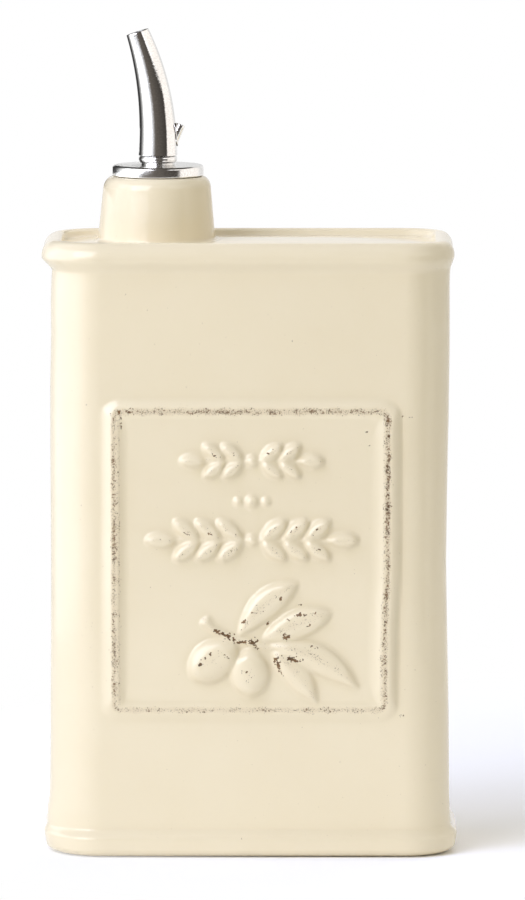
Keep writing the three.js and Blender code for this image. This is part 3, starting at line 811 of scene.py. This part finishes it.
# node tree: a round tube along a chain of points, its radius easing from one end to the other
def tubeTree():
    sockets = {"Path": "Geometry", "Start Radius": "Float", "End Radius": "Float", "Even Share": "Float",
               "Sides": "Int", "Finish": "Material"}
    graph, ins, leave = newGroup("taperedTube", "GeometryNodeTree", sockets, {"Tube": "Geometry"})
    path = graph.add("GeometryNodeMeshToCurve", {"Mesh": ins["Path"]})
    share = graph.add("GeometryNodeSplineParameter").outputs["Factor"]
    even = graph.calc("MULTIPLY", share, ins["Even Share"])
    lateShare = graph.calc("SUBTRACT", 1.0, ins["Even Share"])
    late = graph.calc("MULTIPLY", graph.calc("MULTIPLY", share, share), lateShare)
    drop = graph.calc("SUBTRACT", ins["Start Radius"], ins["End Radius"])
    fall = graph.calc("MULTIPLY", drop, graph.calc("ADD", even, late))
    radius = graph.calc("SUBTRACT", ins["Start Radius"], fall)
    section = graph.add("GeometryNodeCurvePrimitiveCircle", {"Resolution": ins["Sides"], "Radius": 1.0})
    sweep = graph.add("GeometryNodeCurveToMesh", {
        "Curve": path.outputs["Curve"], "Profile Curve": section.outputs["Curve"], "Scale": radius})
    return finishTree(graph, leave, sweep.outputs["Mesh"], ins["Finish"])


# node tree: the same ring set at even steps up a line
def stackTree():
    sockets = {"Ring": "Geometry", "Count": "Int", "Pitch": "Float", "Finish": "Material"}
    graph, ins, leave = newGroup("stackedFins", "GeometryNodeTree", sockets, {"Fins": "Geometry"})
    step = graph.add("ShaderNodeCombineXYZ", {"Z": ins["Pitch"]})
    line = graph.add("GeometryNodeMeshLine", {"Count": ins["Count"], "Offset": step.outputs["Vector"]})
    place = graph.add("GeometryNodeInstanceOnPoints", {"Points": line.outputs["Mesh"], "Instance": ins["Ring"]})
    return finishTree(graph, leave, place.outputs["Instances"], ins["Finish"])


taperedTube = tubeTree()
stackedFins = stackTree()


def runTree(name, mesh, tree, values, sheet=0.0, lip=0.0):
    holder = addObject(name + "Maker", mesh)
    nodes = holder.modifiers.new("shape", "NODES")
    nodes.node_group = tree
    sockets = {s.name: s.identifier for s in tree.interface.items_tree if s.in_out == "INPUT"}
    for key, value in values.items():
        nodes[sockets[key]] = value
    if sheet:
        solid = holder.modifiers.new("sheet", "SOLIDIFY")
        solid.thickness = sheet * mm
        solid.offset = -1
    if lip:
        edge = holder.modifiers.new("edge", "BEVEL")
        edge.width = lip * mm
        edge.segments = pourer["lipSteps"]
        edge.limit_method = "ANGLE"
        edge.angle_limit = math.radians(pourer["lipAngle"])
    bpy.context.view_layer.update()
    ready = holder.evaluated_get(bpy.context.evaluated_depsgraph_get())
    made = bpy.data.meshes.new_from_object(ready)
    made.name = name
    bpy.data.objects.remove(holder)
    return smoothMesh(made, pourer["tubeSharp"])


def makeTube(name, chain, radii, even, sides, sheet=0.0, lip=0.0, closed=False):
    count = len(chain)
    edges = [(i, (i + 1) % count) for i in range(count if closed else count - 1)]
    points = [((x + neck["x"]) * mm, y * mm, (z + neck["top"]) * mm) for x, y, z in chain]
    path = bpy.data.meshes.new(name + "Path")
    path.from_pydata(points, edges, [])
    values = {"Start Radius": radii[0] * mm, "End Radius": radii[1] * mm, "Even Share": even, "Sides": sides,
              "Finish": polishedSteel}
    return runTree(name, path, taperedTube, values, sheet, lip)


spout = {
    "base": 6.15, "tip": 3.65, "even": 0.53, "sheet": 0.8, "straight": 4.4, "bendRadius": 97.1, "bend": 21.1,
    "lip": 0.07, "mouth": 18.0, "mouthReach": 8, "points": 90, "sides": 96,
}
spoutLength = spout["straight"] + spout["bendRadius"] * math.radians(spout["bend"])


def spoutPoint(along):
    straight, bend = spout["straight"], spout["bendRadius"]
    angle = max(0.0, along - straight) / bend
    z = pourer["hubTop"] + pourer["gap"] + min(along, straight) + bend * math.sin(angle)
    return -bend * (1 - math.cos(angle)), z


def spoutRadius(share):
    s = spout
    return s["base"] - (s["base"] - s["tip"]) * (s["even"] * share + (1 - s["even"]) * share ** 2)


# the mouth leans a little less than a cut square to the spout would
def makeSpout():
    s = spout
    chain = [(x, 0, z) for x, z in map(spoutPoint, np.linspace(0, spoutLength, s["points"]))]
    radii = (s["base"], s["tip"])
    mesh = makeTube("pourerSpout", chain, radii, s["even"], s["sides"], s["sheet"], s["lip"])
    tipX, tipZ = spoutPoint(spoutLength)
    lean = math.radians(s["bend"])
    axis = np.array([-math.sin(lean), math.cos(lean)])
    cut = math.tan(lean - math.radians(s["mouth"]))
    places = np.zeros(len(mesh.vertices) * 3)
    mesh.vertices.foreach_get("co", places)
    places = places.reshape(-1, 3)
    away = places[:, ::2] / mm - np.array([neck["x"] + tipX, neck["top"] + tipZ])
    grip = np.clip(1 + away @ axis / s["mouthReach"], 0, 1) ** 2
    across = away @ np.array([axis[1], -axis[0]])
    places[:, ::2] -= np.outer(grip * across * cut, axis) * mm
    mesh.vertices.foreach_set("co", places.ravel())
    mesh.update()
    return mesh


breather = {
    "radius": 1.5, "sheet": 0.5, "x": 2.55, "bottom": -42, "bendZ": 3.8, "bendRadius": 6, "lean": 23,
    "stub": 10.7, "lip": 0.12, "points": 30, "bendPoints": 14, "stubSteps": 12, "sides": 40,
}
breatherLean = (math.sin(math.radians(breather["lean"])), math.cos(math.radians(breather["lean"])))


def breatherPath():
    b = breather
    bend, (leanX, leanZ) = b["bendRadius"], breatherLean
    chain = [(b["x"], 0, z) for z in np.linspace(b["bottom"], b["bendZ"] - 1, b["points"])]
    for a in np.linspace(0, math.radians(b["lean"]), b["bendPoints"]):
        chain.append((b["x"] + bend * (1 - math.cos(a)), 0, b["bendZ"] + bend * math.sin(a)))
    x, _, z = chain[-1]
    stub = np.linspace(0, b["stub"], b["stubSteps"] + 1)[1:]
    return chain + [(x + t * leanX, 0, z + t * leanZ) for t in stub]


def makeBreather():
    b = breather
    radii = (b["radius"], b["radius"])
    return makeTube("pourerBreather", breatherPath(), radii, 1.0, b["sides"], b["sheet"], b["lip"])


# the braze: a thin bead where the breather leaves the spout, found by halving along the breather's side
braze = {"radius": 0.42, "points": 56, "sides": 16, "from": -2.0, "halvings": 22, "stations": 121}


def outsideSpout(x, y, z):
    for share in np.linspace(0, 1, braze["stations"]):
        cx, cz = spoutPoint(share * spoutLength)
        if spoutRadius(share) >= math.sqrt((x - cx) ** 2 + y ** 2 + (z - cz) ** 2):
            return False
    return True


def makeBraze():
    b = breather
    leanX, leanZ = breatherLean
    startX, _, startZ = breatherPath()[b["points"] + b["bendPoints"] - 1]

    def onSide(turn, along):
        out = b["radius"] * math.cos(turn)
        x = startX + out * leanZ + along * leanX
        return x, b["radius"] * math.sin(turn), startZ - out * leanX + along * leanZ

    chain = []
    for turn in np.linspace(0, 2 * math.pi, braze["points"], endpoint=False):
        low, high = braze["from"], b["stub"]
        for _ in range(braze["halvings"]):
            middle = (low + high) / 2
            if outsideSpout(*onSide(turn, middle)):
                high = middle
            else:
                low = middle
        chain.append(onSide(turn, low))
    radii = (braze["radius"], braze["radius"])
    return makeTube("pourerBraze", chain, radii, 1.0, braze["sides"], closed=True)


bung = {
    "headRadius": 13.4, "headTop": 1.8, "headRound": 0.4, "core": 8.4, "coreTop": -2.0, "coreFillet": 0.6,
    "nose": 7.4, "noseRound": 0.5, "length": 24.5, "taper": 2, "bore": 5.05, "gap": 0.1, "finCount": 4,
    "finPitch": 5, "finStart": 3, "finRise": 2, "finEdge": 0.7, "finBack": 0.4, "finRadius": 10.75,
    "finRoot": 0.6,
}


def makeBung():
    b = bung
    low, core, nose, fillet, head = -b["length"], b["core"], b["noseRound"], b["coreFillet"], b["headRound"]
    profile = [(b["bore"], low)] + arcPoints(b["nose"] - nose, low + nose, nose, -90, 0, 4)
    profile += [(core, low + b["taper"]), (core, b["coreTop"])]
    profile += arcPoints(core + fillet, b["gap"] - fillet, fillet, 180, 90, 4)
    profile += arcPoints(b["headRadius"] - head, b["gap"] + head, head, -90, 0, 4)
    profile += arcPoints(b["headRadius"] - head, b["headTop"] - head, head, 0, 90, 4)
    body = turnedMesh("bungCore", profile + [(b["bore"], b["headTop"])], bungRubber)
    root, z, edge = core - b["finRoot"], low + b["finStart"], b["finEdge"] / 2
    back = z + b["finRise"] + b["finEdge"] + b["finBack"]
    fin = [(root, z), (core, z)]
    fin += arcPoints(b["finRadius"] - edge, z + b["finRise"] + edge, edge, -60, 90, 6)
    ring = turnedMesh("bungFin", fin + [(core, back), (root, back)], bungRubber)
    values = {"Count": b["finCount"], "Pitch": b["finPitch"] * mm, "Finish": bungRubber}
    fins = runTree("bungFins", ring, stackedFins, values)
    work = bmesh.new()
    work.from_mesh(body)
    work.from_mesh(fins)
    work.to_mesh(body)
    work.free()
    return smoothMesh(body, pourer["tubeSharp"])


newPiece("bung_ribbed", makeBung(), "stopper", ["stopper_bung"])
newPiece("cap_polished", makeCap(), "pourer", ["flange_cap"])
newPiece("tail_polished", makeTail(), "pourer", ["tail_tube"])
newPiece("spout_polished", makeSpout(), "pourer", ["pour_spout"])
newPiece("breather_polished", makeBreather(), "pourer", ["breather_tube"])
newPiece("breather_braze", makeBraze(), "pourer", [])
print("pourer made")


# studio: white floor that keeps the shadow, white surround, a large soft light from the left
studio = {
    "floorRadius": 0.6, "floorSides": 96, "floorWhite": (0.99, 0.99, 0.995), "floorRough": 0.9,
    "floorGlow": 0.03, "clearMiddle": (0.1, 0.12, 0), "clear": (0.16, 0.27),
    "ambient": 0.37, "ambientTint": (1.03, 1.0, 0.82),
    "leftSeen": (2.5, 2.6, 2.8), "rightSeen": (1.19, 1.13, 1.08), "backSeen": (0.88, 0.87, 0.86),
    "roomDim": (0.15, 0.132, 0.115), "roomDark": (0.066, 0.059, 0.052),
    # bearings in degrees between which the sides, the back and the room's two shades change over
    "seenTurn": (-60, 60), "backTurn": (112, 140), "shadeTurn": (-20, 48),
    # edges of the dark room in degrees, and their shifts: low and high rise, shift at each
    "roomFromLeft": (-66, -18), "leftShift": (-0.175, -0.075, -14, 6.5), "roomFromRight": (62, 54),
    "rightShifts": [(0.05, 0.2, 0, 8), (0.19, 0.29, 0, -34)], "ceiling": (0.55, 0.68),
    "lamps": {  # bearing from the camera's side and lift in degrees, power in watts, tint, seen in reflections
        "key": (-38, 28, 9.6, (0.98, 1.0, 1.13), True), "high": (-65, 52, 6.8, (0.89, 1.0, 1.48), False),
        "back": (160, 45, 5.6, (1.0, 1.0, 1.15), False), "side": (115, 20, 2.9, (1.0, 1.0, 1.15), False),
    },
    "lampFar": 1.35, "lampSize": 0.9, "aim": (0, 0, 0.1),
    "cards": {  # bearing from the pourer, distance, width, low and high edge, shade at the far and near end
        "dark": (-135, 0.055, 0.1155, 0.2107, 0.36, 0.05, 1.3),
        "grey": (168, 0.05, 0.03, 0.2187, 0.285, 0.8, 0.8),
        "pale": (180, 0.05, 0.1, 0.2191, 0.2267, 0.98, 0.98),
    },
    "cardFade": (0.58, 1.08),
}


# near the part the floor is lit, and further off it is plain white to the eye
def floorMaterial():
    material, graph, shader, place = newMaterial("floorWhite")
    white = (*studio["floorWhite"], 1)
    graph.fill(shader, {"Roughness": studio["floorRough"], "Specular IOR Level": 0.0, "Base Color": white})
    away = graph.add("ShaderNodeVectorMath", {0: place, 1: studio["clearMiddle"]}, operation="DISTANCE")
    rays = graph.add("ShaderNodeLightPath").outputs
    mirrored = graph.calc("MAXIMUM", rays["Is Glossy Ray"], rays["Is Transmission Ray"])
    seen = graph.calc("MAXIMUM", rays["Is Camera Ray"], mirrored)
    far = graph.ramp(away.outputs["Value"], *studio["clear"], smooth=True)
    strength = graph.calc("MULTIPLY", graph.calc("SUBTRACT", 1.0, seen), studio["floorGlow"])
    glow = graph.add("ShaderNodeEmission", {"Strength": strength})
    lit = graph.add("ShaderNodeAddShader", {0: shader.outputs[0], 1: glow.outputs[0]})
    clear = graph.add("ShaderNodeEmission")
    both = graph.mixShaders(graph.calc("MULTIPLY", seen, far), lit, clear)
    graph.fill(graph.tree.nodes["Material Output"], {"Surface": both.outputs[0]})
    return material


def makeFloor():
    work = bmesh.new()
    bmesh.ops.create_circle(work, cap_ends=True, radius=studio["floorRadius"], segments=studio["floorSides"])
    mesh = bpy.data.meshes.new("studioFloor")
    work.to_mesh(mesh)
    work.free()
    mesh.materials.append(floorMaterial())
    floor = addObject("studioFloor", mesh)


# small cards behind the pourer that only reflections show
def makeCard(name, bearing, away, width, low, high, farShade, nearShade):
    turn = math.radians(bearing)
    way = np.array([math.sin(turn), -math.cos(turn)])
    across = np.array([-way[1], way[0]]) * width / 2
    middle = np.array([neck["x"] * mm, 0]) + way * away
    (x0, y0), (x1, y1) = middle - across, middle + across
    mesh = bpy.data.meshes.new(name + "Card")
    mesh.from_pydata([(x0, y0, low), (x1, y1, low), (x1, y1, high), (x0, y0, high)], [], [(0, 1, 2, 3)])
    fade = mesh.attributes.new("fade", "FLOAT", "POINT")
    fade.data.foreach_set("value", [0, 1, 1, 0])
    material, graph, *_ = newMaterial(name + "Card")
    shade = graph.ramp(graph.attribute("fade"), *studio["cardFade"], farShade, nearShade, smooth=True)
    glow = graph.add("ShaderNodeEmission", {"Strength": shade})
    graph.fill(graph.tree.nodes["Material Output"], {"Surface": glow.outputs[0]})
    mesh.materials.append(material)
    card = addObject(name + "Card", mesh)
    for kind in ("camera", "diffuse", "shadow", "transmission"):
        setattr(card, "visible_" + kind, False)


def makeLamp(name, bearing, lift, power, tint, mirrored):
    data = bpy.data.lights.new(name + "Softbox", "AREA")
    data.size = studio["lampSize"]
    data.energy = power
    data.color = tint
    lamp = addObject(name + "Softbox", data)
    turn, rise = math.radians(bearing), math.radians(lift)
    way = np.array([math.cos(rise) * math.sin(turn), -math.cos(rise) * math.cos(turn), math.sin(rise)])
    lamp.location = np.array(studio["aim"]) + studio["lampFar"] * way
    lamp.rotation_euler = (math.pi / 2 - rise, 0, turn)
    lamp.visible_glossy = mirrored


# what shiny things see: white sides and back, a dark room on the camera's side, a dark ceiling
def makeSurround():
    world = bpy.data.worlds.new("studioSurround")
    scene.world = world
    world.use_nodes = True
    graph = Graph(world.node_tree)
    graph.tree.nodes.clear()
    ray = graph.add("ShaderNodeTexCoord").outputs["Generated"]
    way = graph.add("ShaderNodeSeparateXYZ", {0: ray}).outputs
    rise = way["Z"]
    bearing = graph.calc("ARCTAN2", way["X"], graph.calc("MULTIPLY", way["Y"], -1.0))
    degrees = graph.calc("MULTIPLY", bearing, 180 / math.pi)

    def edge(name, shift):
        return graph.ramp(graph.calc("SUBTRACT", degrees, shift), *studio[name], smooth=True)

    leftShift = graph.ramp(rise, *studio["leftShift"], smooth=True)
    rightShifts = [graph.ramp(rise, *shift, smooth=True) for shift in studio["rightShifts"]]
    fromLeft, fromRight = edge("roomFromLeft", leftShift), edge("roomFromRight", graph.calc("ADD", *rightShifts))
    room = graph.calc("MULTIPLY", fromLeft, fromRight)
    dark = graph.calc("MAXIMUM", room, graph.ramp(rise, *studio["ceiling"], smooth=True))
    shade = graph.mix(graph.ramp(degrees, *studio["shadeTurn"]), studio["roomDim"], studio["roomDark"])
    seen = graph.mix(graph.ramp(degrees, *studio["seenTurn"]), studio["leftSeen"], studio["rightSeen"])
    behind = graph.ramp(graph.calc("ABSOLUTE", degrees), *studio["backTurn"], smooth=True)
    seen = graph.mix(behind, seen, studio["backSeen"])
    mirrored = graph.add("ShaderNodeBackground", {"Color": graph.mix(dark, seen, shade)})
    tint = (*studio["ambientTint"], 1)
    even = graph.add("ShaderNodeBackground", {"Color": tint, "Strength": studio["ambient"]})
    clear = graph.add("ShaderNodeBackground", {"Color": (1, 1, 1, 1)})
    rays = graph.add("ShaderNodeLightPath").outputs
    lit = graph.mixShaders(rays["Is Glossy Ray"], even, mirrored)
    plain = graph.calc("MAXIMUM", rays["Is Camera Ray"], rays["Is Transmission Ray"])
    both = graph.mixShaders(plain, lit, clear)
    graph.add("ShaderNodeOutputWorld", {"Surface": both.outputs[0]})


makeFloor()
for name, setup in studio["cards"].items():
    makeCard(name, *setup)
makeSurround()
for name, setup in studio["lamps"].items():
    makeLamp(name, *setup)
print("studio made")
